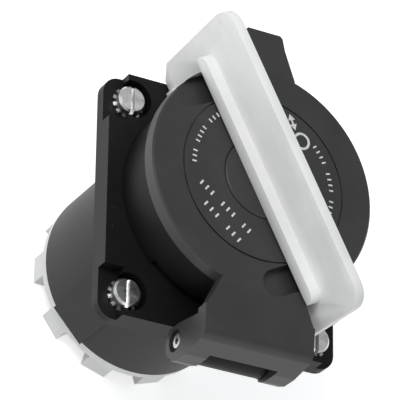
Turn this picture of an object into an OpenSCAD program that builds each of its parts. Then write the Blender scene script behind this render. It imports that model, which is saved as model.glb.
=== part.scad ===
// Panel socket for extra-low voltage with a sprung, hinged lid.
// A moulded housing carries a flange, a collar and a rear cup. The lid turns on a pin at
// the lower edge, and a pale bail on the lid turns about the socket's axis to lock it.
// +Z runs along the socket's axis out of the panel, +Y towards the lid's lifting tab,
// and the origin is on the axis in the plane of the panel.

/* [Flange] */
// Side of the square flange
flange_side = 75; // [70:0.5:80]
// Height of the flange's front face above the panel
flange_front = 7.6; // [6.6:0.1:9]
// Thickness of the gasket under the flange
gasket_t = 1.4; // [0.8:0.1:2]
// How far the flange's middle lies from the socket's axis, towards the tab
flange_shift = -2.8; // [-4:0.1:-1]
// Radius of the flange's corners
corner_r = 5; // [3:0.1:6]
// Distance between neighbouring fixing screws
fixing_pitch = 60; // [58:0.5:62]
// Height of the recessed corners that the screw heads sit on
ledge_z = 3.6; // [3:0.1:4]
// Reach of each corner's open recess from its screw towards the flange's middle
pocket_reach = 7.2; // [6:0.1:9]
// Radius of the recess round each screw head
pocket_r = 5.8; // [5.4:0.1:6.5]

/* [Collar] */
// Outer radius of the collar
collar_r = 32.7; // [31.5:0.1:33.5]
// Height of the collar's front face above the panel
collar_front = 24; // [22:0.1:26]
// Inner radius of the collar, which the plug's shroud enters
bore_r = 26.5; // [25:0.1:27]
// Width of the keyway in the collar's bore
keyway_w = 6; // [4:0.1:8]
// Depth of the bayonet track in the collar's wall
track_depth = 2.4; // [2:0.1:2.8]
// Height of the bayonet track along the axis
track_h = 3.4; // [3:0.1:4.5]
// Half width of the entry slots that lead the claws to the track
entry_half = 4.2; // [3.8:0.1:5]

/* [Rear cup] */
// Outer radius of the cup behind the panel
cup_r = 29.7; // [29.2:0.1:30.5]
// Depth of the cup behind the panel
cup_depth = 46; // [40:0.5:50]
// Wall of the cup
cup_wall = 2.6; // [2:0.1:3]
// Width of the flat rib along the cup
rib_w = 13; // [8:0.5:16]

/* [Fixing screws] */
// Thread radius of the fixing screws
screw_r = 2.5; // [2:0.05:2.6]
// Head radius of the fixing screws
screw_head_r = 4.25; // [4:0.05:4.6]
// Head height of the fixing screws
screw_head_h = 3.1; // [2.6:0.1:3.4]
// Length of the fixing screws behind the panel
screw_reach = 8; // [6:0.5:12]
// Teeth on each lock washer
washer_teeth = 12; // [8:1:16]

/* [Lid] */
// Radius of the lid
lid_r = 34.8; // [34:0.1:36]
// Thickness of the lid
lid_t = 4.6; // [4.4:0.1:5.5]
// Gap between the collar's front face and the lid's rim
lid_gap = 0.6; // [0.5:0.1:1]
// Reach of the lifting tab from the axis
tab_reach = 46.8; // [44:0.1:49]
// Half width of the tab at its tip
tab_tip_half = 6; // [5:0.1:7]
// Half width of the tab where it meets the rim
tab_root_half = 10; // [8.5:0.1:11]
// Radius of the fine groove in the lid's face
groove_r = 25.2; // [23:0.1:26]
// Radius of the sunk place for the bail's hub
hub_seat_r = 12.4; // [11:0.1:13.5]
// Depth of the two oblong recesses under the bail
recess_depth = 2.5; // [2:0.1:2.6]
// Width of the oblong recesses
recess_w = 8.3; // [8:0.1:9]
// Length of the oblong recesses
recess_l = 30; // [28:0.5:31]

/* [Hinge] */
// Distance of the hinge pin from the socket's axis
pin_y = -45.8; // [-47:0.1:-45.4]
// Height of the hinge pin above the panel
pin_z = 10.5; // [10:0.1:11.5]
// Radius of the hinge pin
pin_r = 2; // [1.8:0.05:2.2]
// Half width of the lid's arms over the hinge
arm_half = 17; // [16:0.1:17.5]
// Half width of the opening in the arms' outer wall
window_half = 10.6; // [10.2:0.1:11.5]

/* [Bail] */
// Angle between the bail and the line from hinge to tab, with the bail free
bail_angle = 28; // [26:0.5:32]
// Half length of the bail
bail_half = 45.5; // [44:0.1:47]
// Height of the bail's front edge above the panel
bail_front = 48; // [44:0.5:50]
// Thickness of the bail's web
bail_t = 3; // [2.5:0.1:4]
// Height of the lip along the web's inner edge
lip_h = 4; // [3:0.1:4.5]
// How far the lip stands out on each side of the web
lip_out = 3.4; // [2:0.1:3.5]
// Clearance between the bail's legs and the lid's rim
leg_gap = 0.6; // [0.5:0.1:1]
// Turn of the bail from free to locked
lock_turn = 20; // [15:1:20]

/* [Contacts] */
// Radius of the insulating insert inside the collar
insert_r = 19; // [17:0.1:20]
// Height of the insert's front face above the panel
insert_front = 15; // [12:0.1:16]
// Radius of the bore in each contact sleeve
contact_r = 3.1; // [2.5:0.05:3.2]
// Distance of each contact from the axis
contact_pitch_r = 8.5; // [7.5:0.1:9]
// How far the carrier stands out behind the cup
carrier_out = 9.5; // [6:0.5:11]
// Number of lugs round the carrier's rear edge
lug_count = 10; // [8:1:12]

/* [Hidden] */
$fn = 96;

eps = 0.01;
fit_gap = 0.05;
running_gap = 0.06;

fixing_half = fixing_pitch / 2;
flange_back = gasket_t;
flange_half = flange_side / 2;
flange_low = flange_shift - flange_half;

washer_t = 0.7;
washer_out_r = screw_head_r + 0.55;
screw_seat_z = ledge_z + washer_t;
slot_w = 1.1;
slot_depth = 1.5;

shoulder_front = -3;
shoulder_t = 3.2;
shoulder_back = shoulder_front - shoulder_t;
shoulder_r = insert_r + 0.3;
cup_inner_r = cup_r - cup_wall;
seam = 0.06;
track_z = flange_front + 1.2;
track_r = collar_r - track_depth;
slot_r = track_r - 1;

lid_back = collar_front + lid_gap;
lid_face = lid_back + lid_t;
seal_out_r = slot_r - 0.2;
seal_in_r = seal_out_r - 2.6;
seal_seat_z = lid_back + 1.35;
seal_face_z = collar_front + 0.25;
dish_z = lid_back + 1;

knuckle_r = 5;
knuckle_out = window_half - 0.4;
spring_wire = 0.55;
coil_mid_r = pin_r + 0.45 + spring_wire;
coil_half = 5.6;
spring_turns = 8;
spring_pitch = 2 * spring_wire - 0.1;
spring_start = -(spring_turns - 1) * spring_pitch / 2;
leg_room = 1;
coil_room_r = 3.75;
lobe_r = 5.2;
pin_half = arm_half - 0.6;
pin_sink_r = 3.3;

bush_r = 4.4;
bolt_r = 3;
boss_r = 7;
boss_z = lid_back - 2.4;
hub_r = hub_seat_r - 0.3;
hub_back = lid_back + 2.3;
hub_front = lid_face + 0.4;
washer_gap_t = 0.8;
bolt_thread_r = 2;
bolt_grip = lip_h - 1;
bolt_head_h = 2.4;

bail_back = hub_front;
leg_in = lid_r + leg_gap;
leg_end = flange_front + 0.6;
claw_in_r = track_r + 1.3;
claw_half = 3;
claw_h = track_h - 1;
claw_z = track_z + 0.5;
recess_u = lid_r - recess_w / 2 - 1.3;
foot_r = 2.4;
foot_u = recess_u + 0.7;

carrier_r = cup_inner_r - 0.35;
carrier_back = -cup_depth - carrier_out;
carrier_base_t = 6;
seal_t = 1.6;
carrier_base_back = shoulder_back - carrier_base_t;
base_front = shoulder_back - seal_t;
carrier_wall = 2.4;
rim_r = cup_r - 0.3;
rim_front = -cup_depth - 0.02;
rim_back = -cup_depth - 3;
lug_in_r = carrier_r - carrier_wall + 0.4;
lug_out_r = rim_r - 0.6;

carrier_screw_pitch = (shoulder_r + carrier_r - carrier_wall) / 2;
carrier_screw_r = 1.5;
lug_w = 360 / lug_count * 0.22;

sleeve_wall = 1.3;
sleeve_r = contact_r + sleeve_wall;
sleeve_front = insert_front - 2;
sleeve_back = carrier_base_back;
sleeve_depth = 20;
clamp_side = 10;
clamp_len = 12;
clamp_back = sleeve_back - clamp_len;
clamp_screw_r = 2;
wire_r = 2.2;
wire_y = 2.2;

// A point at an angle, measured from +Y towards -X
function polar(r, a) = [-r * sin(a), r * cos(a)];
// Points of an arc from one angle to another
function arc(centre, r, from, to, steps = 8) =
    [for (i = [0:steps]) let (a = from + (to - from) * i / steps)
        centre + r * [cos(a), sin(a)]];

module ring(outer, inner, from, to) {
    translate([0, 0, from]) difference() {
        cylinder(r = outer, h = to - from);
        translate([0, 0, -1]) cylinder(r = inner, h = to - from + 2);
    }
}

module at_screws() {
    for (x = [-1, 1], y = [-1, 1])
        translate([x * fixing_half, flange_shift + y * fixing_half, 0]) children();
}

module on_pin() {
    translate([0, pin_y, pin_z]) rotate([0, 90, 0]) children();
}

module at_carrier_screws() {
    for (a = [45, 225]) rotate([0, 0, a]) translate([carrier_screw_pitch, 0, 0]) children();
}

module at_contacts() {
    for (s = [-1, 1]) translate([s * contact_pitch_r, 0, 0]) children();
}

// The bail's frame: X across the web, Y along the bail away from the hinge
module along_bail() {
    rotate([0, 0, bail_angle]) children();
}

module flange_outline() {
    m = flange_half - corner_r;
    translate([0, flange_shift]) polygon(concat(
        arc([m, m], corner_r, 0, 90), arc([-m, m], corner_r, 90, 180),
        arc([-m, -m], corner_r, 180, 270), arc([m, -m], corner_r, 270, 360)
    ));
}

// Room for a screw head, open to the flange's outer side
module screw_pocket(x, y) {
    out = flange_half - fixing_half + 1;
    side = 1.6;
    translate([0, 0, ledge_z]) cylinder(r = pocket_r, h = flange_front);
    translate([x > 0 ? side : -out, y > 0 ? -pocket_reach : -out, ledge_z])
        cube([out - side, out + pocket_reach, flange_front]);
}

// Relief in the collar's foot, on the hinge's side
module foot_relief() {
    translate([0, 0, flange_front]) rotate([0, 0, 224]) rotate_extrude(angle = 34)
        translate([collar_r - 1.4, 0]) square([5, 2.6]);
}

module bayonet_track() {
    turn_room = asin((claw_half + 0.6) / track_r);
    for (side = [0, 180]) rotate([0, 0, side]) {
        along_bail()
            translate([-entry_half, slot_r, track_z - 0.4])
                cube([2 * entry_half, collar_r, collar_front]);
        translate([0, 0, track_z])
            rotate([0, 0, 90 + bail_angle])
                rotate_extrude(angle = lock_turn + turn_room)
                    translate([track_r, 0]) square([collar_r, track_h]);
    }
}

module hinge_bracket() {
    on_pin() translate([0, 0, -knuckle_out]) cylinder(r = knuckle_r, h = 2 * knuckle_out);
    translate([-knuckle_out, pin_y, pin_z - knuckle_r + 0.4])
        cube([2 * knuckle_out, flange_low - pin_y + 1, knuckle_r + coil_mid_r - spring_wire - 0.45]);
}

// Room for the coil round the pin, open towards the lid
module coil_room() {
    on_pin() translate([0, 0, -coil_half]) cylinder(r = coil_room_r, h = 2 * coil_half);
    translate([-coil_half, pin_y - coil_room_r + 0.1, pin_z])
        cube([2 * coil_half, 2 * coil_room_r - 0.2, 2 * knuckle_r]);
    // Groove for the leg that lies on the housing
    translate([spring_start - leg_room, pin_y, pin_z + coil_mid_r - spring_wire])
        cube([2 * leg_room, knuckle_r + 1, knuckle_r]);
}

// Half section of the collar, as [radius, Z]
module collar_section() {
    foot = shoulder_front + 0.02;
    polygon([
        [cup_r, foot], [cup_r, flange_back], [collar_r, flange_back],
        [collar_r, collar_front - 0.4], [collar_r - 0.4, collar_front], [bore_r + 0.5, collar_front],
        [bore_r, collar_front - 0.5], [bore_r, foot]
    ]);
}

// Half section of the cup and its inner shoulder, as [radius, Z]
module cup_section() {
    polygon([
        [cup_r, -cup_depth], [cup_r, shoulder_front], [shoulder_r, shoulder_front],
        [shoulder_r, shoulder_back], [cup_inner_r, shoulder_back], [cup_inner_r, -cup_depth]
    ]);
}

module housing() {
    color([0.07, 0.07, 0.075]) difference() {
        union() {
            difference() {
                translate([0, 0, flange_back])
                    linear_extrude(flange_front - flange_back) flange_outline();
                cylinder(r = collar_r + seam, h = collar_front);
            }
            hinge_bracket();
        }
        for (x = [-1, 1], y = [-1, 1])
            translate([x * fixing_half, flange_shift + y * fixing_half, 0]) {
                screw_pocket(x, y);
                cylinder(r = screw_r + fit_gap, h = flange_front);
            }
        foot_relief();
        coil_room();
        on_pin() translate([0, 0, -arm_half]) cylinder(r = pin_r + fit_gap, h = 2 * arm_half);
    }
}

// The collar's foot sits in the flange and on the cup's shoulder
module plug_collar() {
    color([0.07, 0.07, 0.075]) difference() {
        rotate_extrude() collar_section();
        // The keyway for the plug, on the hinge's side
        translate([-keyway_w / 2, -bore_r - 1.2, shoulder_front - 1])
            cube([keyway_w, 6, collar_front - shoulder_front + 2]);
        bayonet_track();
        foot_relief();
    }
}

// Flat rib along the cup
module rear_cup() {
    color([0.07, 0.07, 0.075]) difference() {
        union() {
            rotate_extrude() cup_section();
            rotate([0, 0, 132]) translate([-rib_w / 2, cup_inner_r + 1, 1 - cup_depth])
                cube([rib_w, cup_r - cup_inner_r, cup_depth + shoulder_front - 2]);
        }
        at_carrier_screws() translate([0, 0, shoulder_back - 1])
            cylinder(r = carrier_screw_r + fit_gap, h = shoulder_t + 2);
    }
}

module flange_gasket() {
    color([0.12, 0.12, 0.12]) difference() {
        linear_extrude(gasket_t - 0.02) flange_outline();
        translate([0, 0, -1]) cylinder(r = cup_r + 0.3, h = gasket_t + 2);
        rotate([0, 0, 132])
            translate([-rib_w / 2 - 0.3, 0, -1])
                cube([rib_w + 0.6, cup_r + 1.6, gasket_t + 2]);
        at_screws() translate([0, 0, -1]) cylinder(r = screw_r + 0.3, h = gasket_t + 2);
    }
}

module mounting_screws() {
    neck_r = screw_r - 0.3;
    color([0.75, 0.75, 0.72]) at_screws() difference() {
        union() {
            translate([0, 0, -screw_reach]) cylinder(r = screw_r, h = screw_reach - 0.5);
            translate([0, 0, -1]) cylinder(r = neck_r, h = 1.5 + screw_seat_z);
            translate([0, 0, screw_seat_z]) cylinder(r = screw_head_r, h = screw_head_h - 0.6);
            translate([0, 0, screw_seat_z + screw_head_h - 0.6])
                cylinder(r1 = screw_head_r, r2 = screw_head_r - 0.6, h = 0.6);
        }
        translate([-slot_w / 2, -screw_head_r - 1, screw_seat_z + screw_head_h - slot_depth])
            cube([slot_w, 2 * screw_head_r + 2, slot_depth + 1]);
    }
}

module lock_washers() {
    tooth_w = 1.2;
    color([0.6, 0.6, 0.6]) at_screws() translate([0, 0, ledge_z]) difference() {
        cylinder(r = washer_out_r, h = washer_t);
        translate([0, 0, -1]) cylinder(r = screw_r + 0.1, h = washer_t + 2);
        for (i = [0:washer_teeth - 1]) rotate([0, 0, i * 360 / washer_teeth])
            translate([screw_head_r - 0.2, -tooth_w / 2, -1]) cube([2, tooth_w, washer_t + 2]);
    }
}

module hinge_pin() {
    color([0.8, 0.8, 0.78]) on_pin() difference() {
        translate([0, 0, -pin_half]) cylinder(r = pin_r, h = 2 * pin_half);
        translate([0, 0, -pin_half - 1]) cylinder(r = pin_r * 0.45, h = 2 * pin_half + 2);
    }
}

module hinge_spring() {
    leg_l = 12;
    lean = -4.5;
    leg_r = spring_wire - 0.04;
    leg_off = coil_mid_r + 0.12;
    color([0.7, 0.7, 0.7]) on_pin() {
        for (i = [0:spring_turns - 1]) translate([0, 0, spring_start + i * spring_pitch]) rotate([0, 0, 45])
            rotate_extrude() translate([coil_mid_r, 0]) circle(r = spring_wire, $fn = 24);
        // One leg lies on the housing, the other leans on the lid's arms
        translate([-leg_off, 0, spring_start]) rotate([-90, 0, 0])
            cylinder(r = leg_r, h = flange_low - pin_y + 0.6, $fn = 24);
        translate([0, 0, -spring_start]) rotate([0, 0, lean]) translate([0, -leg_off, 0])
            rotate([0, -90, 0]) cylinder(r = leg_r, h = leg_l, $fn = 24);
    }
}

// Half section of the carrier's base, rear wall and rim, as [radius, Z]
module carrier_section() {
    wall_r = carrier_r - carrier_wall;
    polygon([
        [0, carrier_base_back], [wall_r, carrier_base_back], [wall_r, rim_back], [rim_r, rim_back],
        [rim_r, rim_front], [carrier_r, rim_front], [carrier_r, base_front], [0, base_front]
    ]);
}

module sleeve_bores(to) {
    at_contacts() translate([0, 0, carrier_base_back - 1])
        cylinder(r = sleeve_r + fit_gap, h = to - carrier_base_back + 1);
}

module contact_carrier() {
    color([0.88, 0.88, 0.85]) difference() {
        union() {
            rotate_extrude() carrier_section();
            for (i = [0:lug_count - 1]) rotate([0, 0, (i + 0.5) * 360 / lug_count])
                translate([-lug_w / 2, lug_in_r, carrier_back])
                    cube([lug_w, lug_out_r - lug_in_r, rim_back - carrier_back + 1]);
        }
        sleeve_bores(base_front + 1);
        at_carrier_screws() translate([0, 0, carrier_base_back - 1])
            cylinder(r = carrier_screw_r + fit_gap, h = carrier_base_t + 2);
    }
}

module contact_insert() {
    color([0.88, 0.88, 0.85]) difference() {
        union() {
            translate([0, 0, base_front + 0.02]) cylinder(r = insert_r, h = insert_front - 1.02 - base_front);
            translate([0, 0, insert_front - 1.01]) cylinder(r1 = insert_r, r2 = insert_r - 0.8, h = 1.01);
        }
        sleeve_bores(sleeve_front);
        at_contacts() translate([0, 0, sleeve_front - 1]) cylinder(r = contact_r + 0.4, h = 5);
    }
}

module carrier_seal() {
    color([0.15, 0.15, 0.15]) difference() {
        ring(carrier_r - 0.2, shoulder_r + 0.3, shoulder_back - seal_t + 0.02, shoulder_back - 0.02);
        at_carrier_screws() translate([0, 0, shoulder_back - 5]) cylinder(r = carrier_screw_r + 0.2, h = 8);
    }
}

module carrier_screws() {
    color([0.75, 0.75, 0.72]) at_carrier_screws() difference() {
        union() {
            translate([0, 0, carrier_base_back - 2]) cylinder(r = carrier_screw_r + 0.9, h = 2 - 0.01);
            translate([0, 0, carrier_base_back - 1])
                cylinder(r = carrier_screw_r, h = carrier_base_t + shoulder_t + 0.5);
        }
        translate([-3, -0.35, carrier_base_back - 3]) cube([6, 0.7, 1.8]);
    }
}

module contact_sleeves() {
    slit = 0.8;
    color([0.78, 0.62, 0.3]) at_contacts() difference() {
        translate([0, 0, sleeve_back]) cylinder(r = sleeve_r, h = sleeve_front - sleeve_back - 0.1);
        translate([0, 0, sleeve_front - sleeve_depth]) cylinder(r = contact_r, h = sleeve_depth + 1);
        translate([-sleeve_r - 1, -slit / 2, sleeve_front - sleeve_depth / 2])
            cube([2 * sleeve_r + 2, slit, sleeve_depth]);
        ring(sleeve_r + 1, sleeve_r - 0.5, sleeve_front - 4, sleeve_front - 3);
    }
}

module sleeve_rings() {
    gap_half = 0.6;
    color([0.6, 0.6, 0.62]) at_contacts() difference() {
        ring(sleeve_r - 0.03, sleeve_r - 0.47, sleeve_front - 3.95, sleeve_front - 3.05);
        translate([0, -gap_half, sleeve_front - 5]) cube([sleeve_r + 1, 2 * gap_half, 3]);
    }
}

module terminal_clamps() {
    color([0.75, 0.6, 0.32]) for (s = [-1, 1]) translate([s * contact_pitch_r, 0, clamp_back]) difference() {
        translate([-clamp_side / 2 + s * 1.6, -clamp_side / 2, 0])
            cube([clamp_side, clamp_side, clamp_len - 0.02]);
        translate([s * 1.6, -wire_y, -1]) cylinder(r = wire_r, h = clamp_len - 1);
        translate([s * 1.6, clamp_side / 2 - 2.4, -1])
            cylinder(r = clamp_screw_r * 0.5 + fit_gap, h = clamp_len - 2);
    }
}

module terminal_screws() {
    head_r = 1.9;
    color([0.75, 0.75, 0.72]) for (s = [-1, 1])
        translate([s * (contact_pitch_r + 1.6), clamp_side / 2 - 2.4, clamp_back]) difference() {
            union() {
                translate([0, 0, -2.6]) cylinder(r = head_r, h = 1.6);
                translate([0, 0, -1.1]) cylinder(r = clamp_screw_r * 0.5, h = clamp_len - 3);
            }
            translate([-3, -0.3, -3.6]) cube([6, 0.6, 1.8]);
        }
}

module wire_clamps() {
    color([0.7, 0.7, 0.7]) for (s = [-1, 1])
        translate([s * (contact_pitch_r + 1.6) - 3.2, -clamp_side / 2 + 5, clamp_back - 0.98]) difference() {
            cube([6.4, clamp_side - 5, 0.96]);
            translate([3.2, clamp_side - 7.4, -1]) cylinder(r = clamp_screw_r * 0.5 + fit_gap, h = 3);
        }
}

// The side view of the arms that carry the lid over the hinge, as [Y, Z]
module arm_outer() {
    polygon(concat(
        [[-lid_r + 6, lid_back], [-lid_r + 6, lid_face], [-lid_r, lid_face]],
        [[pin_y + 0.6, lid_face - 1.3]],
        arc([pin_y - 2.2, lid_face - 4.6], 3.2, 80, 165),
        [[pin_y - 6.6, pin_z + 6.5], [pin_y - 6.5, pin_z + 1]],
        [[pin_y - 5.2, pin_z - 2.5], [pin_y - 3.6, pin_z - 2.5]],
        [[pin_y - 3.9, pin_z], [pin_y - 3.6, pin_z + 6]],
        arc([pin_y - 0.6, lid_back - 3], 2.4, 165, 90),
        [[-lid_r, lid_back]]
    ));
}

module cheek_outline() {
    translate([pin_y, pin_z]) circle(r = lobe_r);
    polygon(concat(
        [[pin_y + 4.4, pin_z + 2.5], [pin_y + 3, lid_back - 1], [-lid_r - 3, lid_back], [-lid_r - 3, lid_face - 0.4]],
        [[pin_y + 0.6, lid_face - 1.3]],
        arc([pin_y - 2.2, lid_face - 4.6], 3.2, 80, 165),
        [[pin_y - 6.6, pin_z + 6.5], [pin_y - 6.5, pin_z + 1], [pin_y - 4.6, pin_z - 2.5]]
    ));
}

// Turns a [Y, Z] outline into a slab between two X planes
module slab(from, to) {
    translate([from, 0, 0]) rotate([90, 0, 90]) linear_extrude(to - from) children();
}

module arms() {
    neck_half = arm_half - 5;
    intersection() {
        slab(-arm_half, arm_half) arm_outer();
        // The arms widen from the lid's rim to the hinge
        linear_extrude(lid_face + 1) polygon([
            [-neck_half, -lid_r + 8], [neck_half, -lid_r + 8], [neck_half, -lid_r + 3],
            [arm_half, pin_y + 3.5], [arm_half, pin_y - 12], [-arm_half, pin_y - 12],
            [-arm_half, pin_y + 3.5], [-neck_half, -lid_r + 3]
        ]);
    }
    intersection() {
        union() {
            slab(-arm_half, -window_half) cheek_outline();
            slab(window_half, arm_half) cheek_outline();
        }
        translate([-50, pin_y - 12, 0]) cube([100, 12 + 4.4, lid_face]);
    }
}

module tab_outline() {
    rim_y = sqrt(lid_r * lid_r - tab_root_half * tab_root_half);
    polygon([
        [-tab_root_half, rim_y - 4], [-tab_root_half, rim_y], [-tab_tip_half - 0.8, tab_reach - 4.5],
        [-tab_tip_half, tab_reach - 0.8], [-tab_tip_half + 0.8, tab_reach],
        [tab_tip_half - 0.8, tab_reach], [tab_tip_half, tab_reach - 0.8],
        [tab_tip_half + 0.8, tab_reach - 4.5], [tab_root_half, rim_y], [tab_root_half, rim_y - 4]
    ]);
}

module oblong_recess() {
    straight = recess_l / 2 - recess_w / 2;
    for (s = [-1, 1]) translate([s * straight, 0, 0]) cylinder(r = recess_w / 2, h = lid_t);
    translate([-straight, -recess_w / 2, 0]) cube([2 * straight, recess_w, lid_t]);
}

module lid() {
    color([0.09, 0.09, 0.095]) difference() {
        union() {
            translate([0, 0, lid_back]) cylinder(r = lid_r, h = lid_t - 0.5);
            translate([0, 0, lid_face - 0.5]) cylinder(r1 = lid_r, r2 = lid_r - 0.5, h = 0.5);
            translate([0, 0, lid_back]) linear_extrude(lid_t) tab_outline();
            arms();
            translate([0, 0, boss_z]) cylinder(r = boss_r, h = lid_t);
        }
        // Dished underside between the boss and the seal
        ring(seal_in_r - 1.4, boss_r + 1.5, lid_back - 1, dish_z);
        // Groove that holds the seal
        ring(seal_out_r + 0.1, seal_in_r - 0.1, lid_back - 1, seal_seat_z);
        // Fine groove in the face
        ring(groove_r + 0.3, groove_r - 0.3, lid_face - 0.5, lid_face + 1);
        // Seat for the bail's hub, and the bore for its bush
        translate([0, 0, hub_back - 0.2]) cylinder(r = hub_seat_r, h = lid_t);
        translate([0, 0, boss_z - 1]) cylinder(r = bush_r + fit_gap, h = lid_t + 2);
        along_bail() for (s = [0, 180]) rotate([0, 0, s])
            translate([0, recess_u, lid_face - recess_depth]) oblong_recess();
        // Opening in the arms' outer wall, over the spring
        translate([-window_half, pin_y - 12, 0]) cube([2 * window_half, 12 + 2, pin_z + 8.5]);
        on_pin() translate([0, 0, -arm_half - 1]) cylinder(r = pin_r + running_gap, h = 2 * arm_half + 2);
        for (s = [-1, 1]) on_pin() translate([0, 0, s > 0 ? arm_half - 1.2 : -arm_half - 1])
            cylinder(r = pin_sink_r, h = 2.2);
    }
}

module lid_seal() {
    color([0.2, 0.2, 0.2]) ring(seal_out_r, seal_in_r, seal_face_z, seal_seat_z - 0.02);
}

module pivot_bush() {
    color([0.75, 0.62, 0.32]) ring(bush_r, bolt_r + running_gap, boss_z, hub_back - 0.22);
}

// The bail's outline in its own plane, as [distance along the bail, Z]
module bail_plate() {
    corner = 6;
    u = bail_half;
    w = bail_back;
    chamfer = 4;
    polygon(concat(
        [[-u + 1, leg_end + chamfer]],
        arc([-u + corner, bail_front - corner], corner, 180, 90),
        arc([u - corner, bail_front - corner], corner, 90, 0),
        [[u - 1, leg_end + chamfer], [u - chamfer - 1, leg_end], [leg_in, leg_end]],
        [[leg_in, w], [-leg_in, w]],
        [[-leg_in, leg_end], [-u + chamfer + 1, leg_end]]
    ));
}

// The lip along the web's inner edge, as [distance along the bail, Z]
module bail_lip() {
    r = 3;
    half = leg_in + 2.6;
    top = bail_back + lip_h;
    polygon(concat(
        arc([-half + r, top - r], r, 180, 90, 6),
        arc([half - r, top - r], r, 90, 0, 6),
        [[leg_in + 2.6, bail_back + 0.2], [leg_in, bail_back], [-leg_in, bail_back],
            [-leg_in - 2.6, bail_back + 0.2]]
    ));
}

module bail() {
    color([0.86, 0.86, 0.84]) along_bail() {
        difference() {
            union() {
                slab(-bail_t / 2, bail_t / 2) bail_plate();
                slab(-bail_t / 2 - lip_out, bail_t / 2 + lip_out) bail_lip();
                // Claws that run in the bayonet track
                for (s = [0, 180]) rotate([0, 0, s]) {
                    translate([-claw_half, claw_in_r, claw_z])
                        cube([2 * claw_half, leg_in - claw_in_r + 1.5, claw_h]);
                    translate([-claw_half, leg_in, leg_end])
                        cube([2 * claw_half, 1.5, claw_z + claw_h - leg_end]);
                }
                // Feet that run in the lid's oblong recesses
                for (s = [-1, 1]) translate([0, s * foot_u, lid_face - recess_depth + 0.4])
                    cylinder(r = foot_r, h = bail_back - lid_face + recess_depth);
            }
            translate([0, 0, bail_back - 1])
                cylinder(r = bolt_thread_r + fit_gap, h = 1 + bolt_grip + 0.2);
        }
    }
}
module bail_hub() {
    color([0.08, 0.08, 0.08]) difference() {
        union() {
            translate([0, 0, hub_back]) cylinder(r = hub_r, h = hub_front - hub_back - 0.4);
            translate([0, 0, hub_front - 0.4]) cylinder(r1 = hub_r, r2 = hub_r - 0.4, h = 0.4 - 0.01);
        }
        translate([0, 0, hub_back - 1]) cylinder(r = bolt_r + fit_gap, h = 2.2);
        translate([0, 0, hub_back]) cylinder(r = bolt_thread_r + fit_gap, h = lid_t);
    }
}

module pivot_bolt() {
    under = boss_z - washer_gap_t;
    color([0.75, 0.75, 0.72]) difference() {
        union() {
            translate([0, 0, under - bolt_head_h]) cylinder(r = 5.2, h = bolt_head_h);
            translate([0, 0, under - 0.5]) cylinder(r = bolt_r, h = hub_back + 1.2 - under + 0.45);
            translate([0, 0, hub_back]) cylinder(r = bolt_thread_r, h = bail_back - hub_back + bolt_grip);
        }
        translate([-6, -0.6, under - bolt_head_h - 1]) cube([12, 1.2, 2.2]);
    }
}

module wave_washer() {
    color([0.65, 0.65, 0.65]) ring(5.4, bolt_r + 0.15, boss_z - washer_gap_t + 0.05, boss_z - 0.1);
}

module hub_gasket() {
    color([0.2, 0.2, 0.2]) ring(hub_r - 3, bush_r + 1.2, hub_back - 0.15, hub_back);
}

housing();
plug_collar();
rear_cup();
flange_gasket();
mounting_screws();
lock_washers();
hinge_pin();
hinge_spring();
contact_insert();
contact_carrier();
carrier_seal();
carrier_screws();
contact_sleeves();
sleeve_rings();
terminal_clamps();
terminal_screws();
wire_clamps();
lid();
lid_seal();
pivot_bush();
bail();
bail_hub();
pivot_bolt();
wave_washer();
hub_gasket();
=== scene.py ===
"""Panel socket with a hinged lid and a locking bail: finishes, printed marks and the stage."""

import math

import bmesh
import bpy
from mathutils import Matrix, Vector


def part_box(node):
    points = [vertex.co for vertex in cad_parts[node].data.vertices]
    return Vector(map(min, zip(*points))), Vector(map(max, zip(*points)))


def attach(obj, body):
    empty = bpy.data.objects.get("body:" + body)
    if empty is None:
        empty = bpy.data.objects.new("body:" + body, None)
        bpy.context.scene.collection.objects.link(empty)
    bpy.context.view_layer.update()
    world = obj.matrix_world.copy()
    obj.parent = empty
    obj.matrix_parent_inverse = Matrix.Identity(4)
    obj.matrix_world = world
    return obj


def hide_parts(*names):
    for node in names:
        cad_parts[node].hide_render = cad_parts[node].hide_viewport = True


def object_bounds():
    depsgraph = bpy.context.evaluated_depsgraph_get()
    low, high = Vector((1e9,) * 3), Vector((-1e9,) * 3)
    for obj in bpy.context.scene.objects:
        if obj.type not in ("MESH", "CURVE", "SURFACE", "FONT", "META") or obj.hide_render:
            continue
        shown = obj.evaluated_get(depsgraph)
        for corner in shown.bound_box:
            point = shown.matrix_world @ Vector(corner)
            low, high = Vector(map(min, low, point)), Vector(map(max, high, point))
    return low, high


bl_info = {
    "name": "Panel Socket Dresser",
    "version": (1, 0, 0),
    "blender": (4, 5, 0),
    "location": "3D View > Sidebar > Socket",
    "description": "Dresses the panel socket: a softened bail, printed marks, finishes and a stage",
    "category": "Object",
}

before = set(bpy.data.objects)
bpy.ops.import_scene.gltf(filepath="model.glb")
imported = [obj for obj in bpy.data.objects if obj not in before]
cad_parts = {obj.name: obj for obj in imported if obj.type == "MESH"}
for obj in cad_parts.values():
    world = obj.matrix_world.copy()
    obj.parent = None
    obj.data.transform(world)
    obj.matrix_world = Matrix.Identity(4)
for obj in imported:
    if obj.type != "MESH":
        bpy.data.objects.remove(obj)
cad_low, cad_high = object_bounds()
MM = 0.001
lid_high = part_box("lid")[1]

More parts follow.
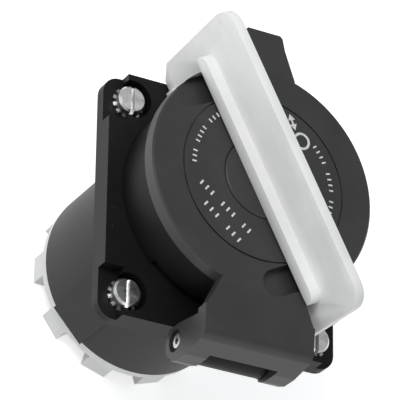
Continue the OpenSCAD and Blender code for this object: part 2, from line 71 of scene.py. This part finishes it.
# Places of the four screws, the view and the printed marks, in millimetres where they are lengths
SCREW_HALF_PITCH = 30.0
SCREW_SHIFT = -2.8
VIEW_RIGHT = (0.8755, 0.0129, 0.4825)
VIEW_BACK = (-0.4247, -0.4528, 0.7836)
VIEW_SIDE, VIEW_RISE = -3.51, 5.55
VIEW_DISTANCE = 1.0
VIEW_LENS = 317.7
RING_PLACE = (12.2, 15.0)
ARROW_TIP, ARROW_TAIL = (8.2, 22.6), (10.2, 17.9)
ARROW_HEAD, ARROW_BARB, ARROW_HALF = 1.9, 1.15, 0.3
ARC_REACH = 21.8
ARCS = ((128.0, 180.0, 13), (41.0, -36.0, 18))
ROWS = (((-19.4, -6.0), (-4.5, -17.3), 10), ((-18.0, -12.1), (-7.6, -20.8), 7))


# ---------------------------------------------------------------- shader maths


class Wire:
    """One shader socket, with the operators that add Math nodes."""

    def __init__(self, finish, socket):
        self.finish = finish
        self.socket = socket

    def _sum(self, operation, *values):
        return self.finish.add("ShaderNodeMath", {"operation": operation}, values)

    def __add__(self, other):
        return self._sum("ADD", self, other)

    def __radd__(self, other):
        return self._sum("ADD", other, self)

    def __sub__(self, other):
        return self._sum("SUBTRACT", self, other)

    def __rsub__(self, other):
        return self._sum("SUBTRACT", other, self)

    def __mul__(self, other):
        return self._sum("MULTIPLY", self, other)

    def __rmul__(self, other):
        return self._sum("MULTIPLY", other, self)

    def least(self, other):
        return self._sum("MINIMUM", self, other)

    def most(self, other):
        return self._sum("MAXIMUM", self, other)

    def sine(self):
        return self._sum("SINE", self)

    def root(self):
        return self._sum("SQRT", self)

    def ramp(self, low, high, low_out=0.0, high_out=1.0):
        """A smooth rise from low to high."""
        return self.finish.add(
            "ShaderNodeMapRange",
            {"interpolation_type": "SMOOTHSTEP"},
            {"Value": self, "From Min": low, "From Max": high, "To Min": low_out, "To Max": high_out},
        )


class Finish:
    """A material under construction, read in object coordinates."""

    def __init__(self, name):
        self.material = bpy.data.materials.new(name)
        self.material.use_nodes = True
        self.tree = self.material.node_tree
        self.shader = self.tree.nodes["Principled BSDF"]
        coords = self.tree.nodes.new("ShaderNodeTexCoord")
        self.place = Wire(self, coords.outputs["Object"])

    def add(self, kind, settings=None, values=(), output=0):
        """Adds a node, sets it, and fills its sockets by place or by name."""
        node = self.tree.nodes.new(kind)
        for name, value in (settings or {}).items():
            setattr(node, name, value)
        pairs = values.items() if isinstance(values, dict) else enumerate(values)
        for key, value in pairs:
            if isinstance(value, Wire):
                self.tree.links.new(value.socket, node.inputs[key])
            elif value is not None:
                node.inputs[key].default_value = value
        return Wire(self, node.outputs[output])

    def noise(self, scale, detail=3.0, roughness=0.5, stretch=(1, 1, 1), seed=0.0):
        place = self.add(
            "ShaderNodeMapping",
            {},
            {"Vector": self.place, "Scale": stretch, "Location": (seed, seed * 0.37, -seed * 0.61)},
        )
        return self.add(
            "ShaderNodeTexNoise",
            {},
            {"Vector": place, "Scale": scale, "Detail": detail, "Roughness": roughness},
        )

    def specks(self, scale, seed=0.0):
        place = self.add(
            "ShaderNodeMapping", {}, {"Vector": self.place, "Location": (seed, seed, seed)}
        )
        return self.add("ShaderNodeTexVoronoi", {"feature": "F1"}, {"Vector": place, "Scale": scale})

    def parts(self):
        node = self.tree.nodes.new("ShaderNodeSeparateXYZ")
        self.tree.links.new(self.place.socket, node.inputs[0])
        return [Wire(self, out) for out in node.outputs]

    def blend(self, amount, first, second):
        """A colour between two others."""
        node = self.tree.nodes.new("ShaderNodeMix")
        node.data_type = "RGBA"
        for socket, value in ((node.inputs[0], amount), (node.inputs[6], first), (node.inputs[7], second)):
            if isinstance(value, Wire):
                self.tree.links.new(value.socket, socket)
            else:
                socket.default_value = value
        return Wire(self, node.outputs[2])

    def bump(self, height, distance, strength):
        return self.add(
            "ShaderNodeBump", {}, {"Height": height, "Distance": distance, "Strength": strength}
        )

    def edges(self, radius):
        """How near a surface is to an outer edge, from 0 to 1."""
        soft = self.add("ShaderNodeBevel", {"samples": 6}, {"Radius": radius})
        flat = self.tree.nodes.new("ShaderNodeNewGeometry").outputs["Normal"]
        pair = (soft, Wire(self, flat))
        dot = self.add("ShaderNodeVectorMath", {"operation": "DOT_PRODUCT"}, pair, "Value")
        return (1.0 - dot).ramp(0.02, 0.25)

    def feed(self, **links):
        for name, value in links.items():
            socket = self.shader.inputs[name.replace("_", " ")]
            if isinstance(value, Wire):
                self.tree.links.new(value.socket, socket)
            else:
                socket.default_value = value
        return self.material


def grey(level, warm=0.0):
    return (level * (1 + warm), level, level * (1 - warm), 1.0)


def dark_moulding(name, tone, gloss, grain, worn, shine=0.5):
    """Dark moulded plastic: spark-eroded grain, faint flow marks, rubbed edges and a little dust."""
    made = Finish(name)
    cloud = made.noise(60.0, 4.0, 0.6)
    grit = made.noise(1900.0, 2.0, 0.6)
    flow = made.noise(130.0, 3.0, 0.5, stretch=(1.0, 1.0, 0.18), seed=3.0)
    specks = made.specks(420.0, seed=5.0)
    dust = (0.12 - specks).ramp(0.0, 0.1) * made.noise(45.0, 2.0, seed=9.0).ramp(0.52, 0.7)
    scuff = made.noise(240.0, 6.0, 0.7, stretch=(1.0, 0.25, 1.0), seed=7.0).ramp(0.6, 0.74)
    rub = (made.edges(0.45 * MM) * made.noise(170.0, 3.0, seed=11.0).ramp(0.35, 0.65)) * worn
    base = made.blend(cloud.ramp(0.3, 0.7), grey(tone * 0.82), grey(tone * 1.18, 0.01))
    base = made.blend(dust * 0.3, base, grey(0.22, 0.03))
    base = made.blend(scuff * 0.12, base, grey(tone * 3.0))
    base = made.blend(rub * 0.6, base, grey(tone * 4.5))
    rough = gloss + cloud * 0.1 + dust * 0.25 + scuff * 0.08 - rub * 0.08
    height = grit * grain + flow * 0.25 + scuff * 0.1
    normal = made.bump(height, 0.03 * MM, 0.55)
    made.shader.inputs["Specular IOR Level"].default_value = shine
    return made.feed(Base_Color=base, Roughness=rough, Normal=normal)


def pale_moulding(name, colour):
    """Pale moulded plastic with soft flow marks and grey handling marks."""
    made = Finish(name)
    cloud = made.noise(38.0, 4.0, 0.55)
    fine = made.noise(900.0, 3.0, 0.6)
    flow = made.noise(90.0, 4.0, 0.6, stretch=(0.5, 0.5, 2.0), seed=2.0)
    marks = made.noise(210.0, 6.0, 0.72, stretch=(1.0, 0.35, 1.0), seed=6.0).ramp(0.6, 0.76)
    pits = (0.09 - made.specks(520.0, seed=4.0)).ramp(0.0, 0.08)
    dull = tuple(c * 0.86 for c in colour[:3]) + (1.0,)
    base = made.blend(cloud.ramp(0.32, 0.72), dull, colour)
    base = made.blend(flow.ramp(0.5, 0.75) * 0.25, base, grey(0.6, 0.01))
    base = made.blend(marks * 0.3, base, grey(0.42, 0.02))
    base = made.blend(pits * 0.5, base, grey(0.3, 0.02))
    rough = 0.4 + cloud * 0.12 + marks * 0.15
    normal = made.bump(fine * 0.5 + flow * 0.5 - pits * 0.6, 0.04 * MM, 0.5)
    made.shader.inputs["Subsurface Weight"].default_value = 0.08
    made.shader.inputs["Subsurface Radius"].default_value = (0.002, 0.002, 0.002)
    return made.feed(Base_Color=base, Roughness=rough, Normal=normal)


def turned_steel(name, light, rough_base, centres):
    """Plated steel with turning rings round each screw's axis, dull patches and dark pits."""
    made = Finish(name)
    x, y, _ = made.parts()
    ring = None
    for cx, cy in centres:
        near = ((x - cx) * (x - cx) + (y - cy) * (y - cy)).root()
        ring = near if ring is None else ring.least(near)
    cloud = made.noise(420.0, 4.0, 0.6)
    stain = made.noise(260.0, 5.0, 0.7, seed=8.0).ramp(0.52, 0.7)
    scratch = made.noise(900.0, 3.0, 0.7, stretch=(1.0, 0.12, 0.4), seed=4.0)
    turning = made.noise(1500.0, 2.0, 0.5) if ring is None else (ring * 15000.0).sine() * 0.5 + 0.5
    base = made.blend(cloud.ramp(0.35, 0.7), grey(light * 0.8), grey(light))
    base = made.blend(stain * 0.55, base, grey(light * 0.35, 0.04))
    rough = rough_base + cloud * 0.14 + stain * 0.25
    normal = made.bump(turning * 0.4 + scratch * 0.6, 0.02 * MM, 0.5)
    made.shader.inputs["Metallic"].default_value = 1.0
    return made.feed(Base_Color=base, Roughness=rough, Normal=normal)


def turned_brass(name):
    made = Finish(name)
    cloud = made.noise(240.0, 4.0, 0.6)
    tarnish = made.noise(120.0, 5.0, 0.7, seed=3.0).ramp(0.48, 0.72)
    lines = made.noise(600.0, 3.0, 0.6, stretch=(0.2, 0.2, 2.4))
    base = made.blend(cloud, (0.62, 0.44, 0.17, 1), (0.8, 0.62, 0.28, 1))
    base = made.blend(tarnish * 0.5, base, (0.3, 0.19, 0.08, 1))
    made.shader.inputs["Metallic"].default_value = 1.0
    return made.feed(
        Base_Color=base,
        Roughness=0.26 + cloud * 0.12 + tarnish * 0.25,
        Normal=made.bump(lines, 0.02 * MM, 0.5),
    )


def soft_rubber(name, tone):
    made = Finish(name)
    cloud = made.noise(110.0, 4.0, 0.6)
    bloom = made.noise(40.0, 4.0, 0.6, seed=5.0).ramp(0.5, 0.75)
    grain = made.noise(1400.0, 3.0, 0.7)
    base = made.blend(cloud, grey(tone * 0.8), grey(tone * 1.25, 0.02))
    base = made.blend(bloom * 0.25, base, grey(0.12, 0.02))
    return made.feed(
        Base_Color=base,
        Roughness=0.72 + cloud * 0.12 + bloom * 0.08,
        Normal=made.bump(grain, 0.03 * MM, 0.6),
    )


def print_ink(name, light):
    """White pad print, thin and a little broken at its edges."""
    made = Finish(name)
    wear = made.noise(1100.0, 5.0, 0.7).ramp(0.3, 0.5)
    base = made.blend(wear, grey(light * 0.55), grey(light))
    return made.feed(
        Base_Color=base,
        Roughness=0.5 + wear * 0.1,
        Normal=made.bump(made.noise(1600.0, 2.0), 0.01 * MM, 0.4),
    )


# ---------------------------------------------------------------- mesh helpers


def nothing_selected():
    if bpy.context.object and bpy.context.object.mode != "OBJECT":
        bpy.ops.object.mode_set(mode="OBJECT")
    bpy.ops.object.select_all(action="DESELECT")


def only(obj):
    nothing_selected()
    obj.select_set(True)
    bpy.context.view_layer.objects.active = obj


def settle(obj, name, body, material):
    """Puts a finished piece's place in its mesh and hands it to its body."""
    only(obj)
    bpy.ops.object.transform_apply(location=True, rotation=True, scale=True)
    obj.name = name
    obj.data.name = name
    obj.data.materials.clear()
    obj.data.materials.append(material)
    bpy.ops.object.shade_smooth_by_angle(angle=math.radians(40))
    nothing_selected()
    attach(obj, body)
    return obj


def joined(objects):
    nothing_selected()
    for obj in objects:
        obj.select_set(True)
    bpy.context.view_layer.objects.active = objects[0]
    if len(objects) > 1:
        bpy.ops.object.join()
    return objects[0]


def softened(node, width, angle=32.0):
    """A copy of a CAD node with its triangles merged into faces and its edges rounded."""
    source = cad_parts[node]
    nothing_selected()
    copy = source.copy()
    copy.data = source.data.copy()
    for key in list(copy.keys()):
        del copy[key]
    copy.parent = None
    bpy.context.scene.collection.objects.link(copy)
    only(copy)
    bpy.ops.object.mode_set(mode="EDIT")
    bpy.ops.mesh.select_all(action="SELECT")
    bpy.ops.mesh.remove_doubles(threshold=0.00002)
    bpy.ops.mesh.dissolve_limited(angle_limit=math.radians(0.6))
    bpy.ops.object.mode_set(mode="OBJECT")
    bevel = copy.modifiers.new("edge", "BEVEL")
    bevel.width = width
    bevel.segments = 2
    bevel.limit_method = "ANGLE"
    bevel.angle_limit = math.radians(angle)
    bevel.use_clamp_overlap = True
    bevel.harden_normals = False
    bpy.ops.object.modifier_apply(modifier="edge")
    return copy


# ---------------------------------------------------------------- sizes to set


class SocketEdges(bpy.types.PropertyGroup):
    bail: bpy.props.FloatProperty(
        name="Bail edge", description="Rounding along the bail's edges", default=0.5 * MM, min=0.0,
        unit="LENGTH",
    )


class SocketPrint(bpy.types.PropertyGroup):
    ring: bpy.props.FloatProperty(
        name="Ring", description="Radius of the printed ring", default=2.3 * MM, unit="LENGTH"
    )
    line: bpy.props.FloatProperty(
        name="Line", description="Width of the printed lines", default=0.75 * MM, unit="LENGTH"
    )
    dash: bpy.props.FloatProperty(
        name="Dash", description="Height of the printed dashes", default=1.3 * MM, unit="LENGTH"
    )
    film: bpy.props.FloatProperty(
        name="Film", description="Thickness of the print", default=0.04 * MM, unit="LENGTH"
    )


class SocketTones(bpy.types.PropertyGroup):
    dark: bpy.props.FloatProperty(
        name="Dark", description="Tone of the dark mouldings", default=0.022, min=0.0, max=1.0,
        subtype="FACTOR",
    )
    pale: bpy.props.FloatVectorProperty(
        name="Pale", description="Colour of the pale mouldings", default=(0.8, 0.8, 0.79, 1.0), size=4,
        subtype="COLOR", min=0.0, max=1.0,
    )
    ink: bpy.props.FloatProperty(
        name="Ink", description="Tone of the print", default=0.6, min=0.0, max=1.0, subtype="FACTOR"
    )


class SocketStage(bpy.types.PropertyGroup):
    key: bpy.props.FloatProperty(name="Key", description="Power of the main light in watts", default=5.0)
    fill: bpy.props.FloatProperty(name="Fill", description="Power of the filling light in watts", default=1.6)
    sky: bpy.props.FloatProperty(name="Sky", description="Strength of the light from all round", default=0.56)


# ---------------------------------------------------------------- operators


class SOCKET_OT_finishes(bpy.types.Operator):
    """Give every node of the socket its finish"""

    bl_idname = "socket.finishes"
    bl_label = "Finish the nodes"

    def execute(self, context):
        tones = context.scene.socket_tones
        screws = [
            (sx * SCREW_HALF_PITCH * MM, (SCREW_SHIFT + sy * SCREW_HALF_PITCH) * MM)
            for sx in (-1, 1) for sy in (-1, 1)
        ]
        # Painted shade: the housing and the rear cup are darker copies of the lid's dark moulding, at 0.3 and
        # 0.5 of its tone and with less specular, standing in for shade on the same plastic
        body = dark_moulding("housing moulding with painted shade", tones.dark * 0.3, 0.42, 0.8, 0.5, shine=0.18)
        cup = dark_moulding("cup moulding with painted shade", tones.dark * 0.5, 0.42, 0.8, 0.5, shine=0.3)
        cover = dark_moulding("lid moulding", tones.dark, 0.4, 0.5, 0.6)
        pale = pale_moulding("pale moulding", tuple(tones.pale))
        bright = turned_steel("plated screw steel", 0.75, 0.22, screws)
        small = turned_steel("small steel parts", 0.68, 0.25, [])
        spring = turned_steel("spring steel", 0.52, 0.3, [])
        brass = turned_brass("turned brass")
        rubber = soft_rubber("seal rubber", 0.02)
        finishes = {
            body: ["housing", "plug_collar"],
            cup: ["rear_cup"],
            cover: ["lid", "bail_hub"],
            pale: ["bail", "contact_carrier", "contact_insert"],
            bright: ["mounting_screws"],
            small: ["hinge_pin", "carrier_screws", "terminal_screws", "pivot_bolt"],
            spring: ["lock_washers", "hinge_spring", "sleeve_rings", "wire_clamps", "wave_washer"],
            brass: ["contact_sleeves", "terminal_clamps", "pivot_bush"],
            rubber: ["flange_gasket", "carrier_seal", "lid_seal", "hub_gasket"],
        }
        for material, nodes in finishes.items():
            for node in nodes:
                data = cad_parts[node].data
                data.materials.clear()
                data.materials.append(material)
        missing = [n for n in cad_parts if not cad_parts[n].data.materials]
        if missing:
            raise RuntimeError(f"no finish for {missing}")
        return {"FINISHED"}


class SOCKET_OT_bail(bpy.types.Operator):
    """Round the bail's moulded edges"""

    bl_idname = "socket.bail"
    bl_label = "Soften the bail"

    def execute(self, context):
        piece = softened("bail", context.scene.socket_edges.bail)
        settle(piece, "bail_moulding", "bail", bpy.data.materials["pale moulding"])
        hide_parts("bail")
        return {"FINISHED"}


def flat_shape(corners, top, film):
    """A thin printed shape from its corners, drawn as a plane's extruded outline."""
    bpy.ops.mesh.primitive_plane_add(size=1.0)
    obj = bpy.context.object
    data = bmesh.new()
    made = [data.verts.new((x, y, top)) for x, y in corners]
    data.faces.new(made)
    bmesh.ops.recalc_face_normals(data, faces=data.faces)
    data.to_mesh(obj.data)
    data.free()
    only(obj)
    bpy.ops.object.mode_set(mode="EDIT")
    bpy.ops.mesh.select_all(action="SELECT")
    bpy.ops.mesh.extrude_region_move(TRANSFORM_OT_translate={"value": (0, 0, film)})
    bpy.ops.mesh.select_all(action="SELECT")
    bpy.ops.mesh.normals_make_consistent(inside=False)
    bpy.ops.object.mode_set(mode="OBJECT")
    return obj


def dash_at(x, y, turn, length, width, top, film):
    c, s = math.cos(turn), math.sin(turn)
    half_l, half_w = length / 2, width / 2
    corners = [(-half_l, -half_w), (half_l, -half_w), (half_l, half_w), (-half_l, half_w)]
    return flat_shape([(x + a * c - b * s, y + a * s + b * c) for a, b in corners], top, film)


class SOCKET_OT_print(bpy.types.Operator):
    """Print the lid's plain marks: a ring, a double arrow and rows of dashes"""

    bl_idname = "socket.print"
    bl_label = "Print the lid"

    def execute(self, context):
        sizes = context.scene.socket_print
        ink = print_ink("lid print", context.scene.socket_tones.ink)
        top, film = lid_high.z + 0.005 * MM, sizes.film
        # The ring beside the bail
        bpy.ops.mesh.primitive_torus_add(
            location=(RING_PLACE[0] * MM, RING_PLACE[1] * MM, top + film / 2), major_radius=sizes.ring,
            minor_radius=sizes.line / 2, major_segments=48, minor_segments=8,
        )
        ring = bpy.context.object
        ring.scale.z = film / sizes.line
        settle(ring, "print_ring", "lid", ink)
        # The double arrow along the bail
        tip, tail = (Vector((x * MM, y * MM)) for x, y in (ARROW_TIP, ARROW_TAIL))
        way = (tip - tail).normalized()
        side = Vector((-way.y, way.x))
        head, barb, half = ARROW_HEAD * MM, ARROW_BARB * MM, ARROW_HALF * MM
        outline = [
            tip, tip - way * head + side * barb, tip - way * head + side * half,
            tail + way * head + side * half, tail + way * head + side * barb, tail,
            tail + way * head - side * barb, tail + way * head - side * half,
            tip - way * head - side * half, tip - way * head - side * barb,
        ]
        arrow = flat_shape([(p.x, p.y) for p in outline], top, film)
        settle(arrow, "print_arrow", "lid", ink)
        # Plain dashes along two arcs near the groove
        dashes = []
        for start, end, count in ARCS:
            for i in range(count):
                if i % 5 == 4:
                    continue
                a = math.radians(start + (end - start) * i / (count - 1))
                reach = ARC_REACH * MM
                dashes.append(
                    dash_at(reach * math.cos(a), reach * math.sin(a), a, sizes.dash, sizes.dash * 0.36,
                            top, film)
                )
        # Two plain rows beside the bail
        for (x0, y0), (x1, y1), count in ROWS:
            turn = math.atan2(y1 - y0, x1 - x0) + math.pi / 2
            for i in range(count):
                if i % 4 == 3:
                    continue
                t = i / (count - 1)
                dashes.append(
                    dash_at((x0 + (x1 - x0) * t) * MM, (y0 + (y1 - y0) * t) * MM, turn, sizes.dash * 1.25,
                            sizes.dash * 0.42, top, film)
                )
        settle(joined(dashes), "print_dashes", "lid", ink)
        return {"FINISHED"}


class SOCKET_OT_stage(bpy.types.Operator):
    """Lay the floor, hang the lights and place the camera"""

    bl_idname = "socket.stage"
    bl_label = "Set the stage"

    def execute(self, context):
        scene = context.scene
        look = scene.socket_stage
        nothing_selected()
        bpy.ops.mesh.primitive_circle_add(
            vertices=96, radius=1.6, fill_type="NGON", location=(0, 0, cad_low.z - 0.0002)
        )
        floor = bpy.context.object
        floor.name = "floor"
        floor.data.materials.append(self.floor_paint())
        self.lights(look)
        camera = bpy.data.objects.new("camera", bpy.data.cameras.new("camera"))
        scene.collection.objects.link(camera)
        right = Vector(VIEW_RIGHT).normalized()
        back = Vector(VIEW_BACK).normalized()
        up = back.cross(right).normalized()
        right = up.cross(back)
        place = VIEW_SIDE * MM * right + VIEW_RISE * MM * up + VIEW_DISTANCE * back
        turn = Matrix((right, up, back)).transposed().to_4x4()
        camera.matrix_world = Matrix.Translation(place) @ turn
        camera.data.sensor_width = 36.0
        camera.data.lens = VIEW_LENS
        camera.data.clip_end = 20.0
        scene.camera = camera
        scene.view_settings.view_transform = "Standard"
        return {"FINISHED"}

    def floor_paint(self):
        made = Finish("pale floor")
        cloud = made.noise(6.0, 3.0)
        base = made.blend(cloud, grey(0.78), grey(0.82))
        made.feed(Base_Color=base, Roughness=0.7 + cloud * 0.1)
        glow = made.tree.nodes.new("ShaderNodeEmission")
        glow.inputs[0].default_value = (1, 1, 1, 1)
        glow.inputs[1].default_value = 0.55
        rays = made.tree.nodes.new("ShaderNodeLightPath")
        seen = Wire(made, rays.outputs["Is Camera Ray"]).most(Wire(made, rays.outputs["Is Glossy Ray"]))
        seen = seen.most(Wire(made, rays.outputs["Is Transmission Ray"]))
        mix = made.tree.nodes.new("ShaderNodeMixShader")
        out = made.tree.nodes["Material Output"]
        both = made.tree.nodes.new("ShaderNodeAddShader")
        made.tree.links.new(made.shader.outputs[0], both.inputs[0])
        made.tree.links.new(glow.outputs[0], both.inputs[1])
        made.tree.links.new(seen.socket, mix.inputs[0])
        made.tree.links.new(made.shader.outputs[0], mix.inputs[1])
        made.tree.links.new(both.outputs[0], mix.inputs[2])
        made.tree.links.new(mix.outputs[0], out.inputs[0])
        return made.material

    def lights(self, look):
        def lamp(name, place, aim, power, size):
            data = bpy.data.lights.new(name, "AREA")
            data.energy, data.size = power, size
            obj = bpy.data.objects.new(name, data)
            bpy.context.scene.collection.objects.link(obj)
            place, aim = Vector(place), Vector(aim)
            turn = (place - aim).to_track_quat("Z", "Y").to_matrix().to_4x4()
            obj.matrix_world = Matrix.Translation(place) @ turn

        lamp("key light", (-0.5, 0.15, 0.78), (0, 0, 0.01), look.key, 0.45)
        lamp("fill light", (0.3, -0.9, 0.35), (0, 0, 0.01), look.fill, 0.7)
        world = bpy.data.worlds.new("studio")
        bpy.context.scene.world = world
        world.use_nodes = True
        tree = world.node_tree
        tree.nodes.clear()
        rays = tree.nodes.new("ShaderNodeLightPath")
        soft = tree.nodes.new("ShaderNodeBackground")
        soft.inputs[0].default_value = (0.95, 0.97, 1.0, 1)
        soft.inputs[1].default_value = look.sky
        white = tree.nodes.new("ShaderNodeBackground")
        white.inputs[0].default_value = (1, 1, 1, 1)
        white.inputs[1].default_value = 1.0
        seen = tree.nodes.new("ShaderNodeMath")
        seen.operation = "MAXIMUM"
        tree.links.new(rays.outputs["Is Camera Ray"], seen.inputs[0])
        tree.links.new(rays.outputs["Is Transmission Ray"], seen.inputs[1])
        mix = tree.nodes.new("ShaderNodeMixShader")
        out = tree.nodes.new("ShaderNodeOutputWorld")
        tree.links.new(seen.outputs[0], mix.inputs[0])
        tree.links.new(soft.outputs[0], mix.inputs[1])
        tree.links.new(white.outputs[0], mix.inputs[2])
        tree.links.new(mix.outputs[0], out.inputs[0])


class SOCKET_PT_panel(bpy.types.Panel):
    """Sizes, tones and steps of the socket"""

    bl_idname = "SOCKET_PT_panel"
    bl_label = "Panel socket"
    bl_space_type = "VIEW_3D"
    bl_region_type = "UI"
    bl_category = "Socket"

    def draw(self, context):
        scene = context.scene
        for group in (scene.socket_edges, scene.socket_print, scene.socket_tones, scene.socket_stage):
            box = self.layout.box()
            for name in group.__annotations__:
                box.prop(group, name)
        for step in STEPS:
            self.layout.operator(step.bl_idname)


STEPS = (SOCKET_OT_finishes, SOCKET_OT_bail, SOCKET_OT_print, SOCKET_OT_stage)
GROUPS = {
    "socket_edges": SocketEdges,
    "socket_print": SocketPrint,
    "socket_tones": SocketTones,
    "socket_stage": SocketStage,
}


def register():
    for group in GROUPS.values():
        bpy.utils.register_class(group)
    for name, group in GROUPS.items():
        setattr(bpy.types.Scene, name, bpy.props.PointerProperty(type=group))
    for step in STEPS:
        bpy.utils.register_class(step)
    bpy.utils.register_class(SOCKET_PT_panel)


def unregister():
    bpy.utils.unregister_class(SOCKET_PT_panel)
    for step in reversed(STEPS):
        bpy.utils.unregister_class(step)
    for name in GROUPS:
        delattr(bpy.types.Scene, name)
    for group in GROUPS.values():
        bpy.utils.unregister_class(group)


def main():
    nothing_selected()
    register()
    bpy.ops.socket.finishes()
    bpy.ops.socket.bail()
    bpy.ops.socket.print()
    bpy.ops.socket.stage()


if __name__ == "__main__":
    main()
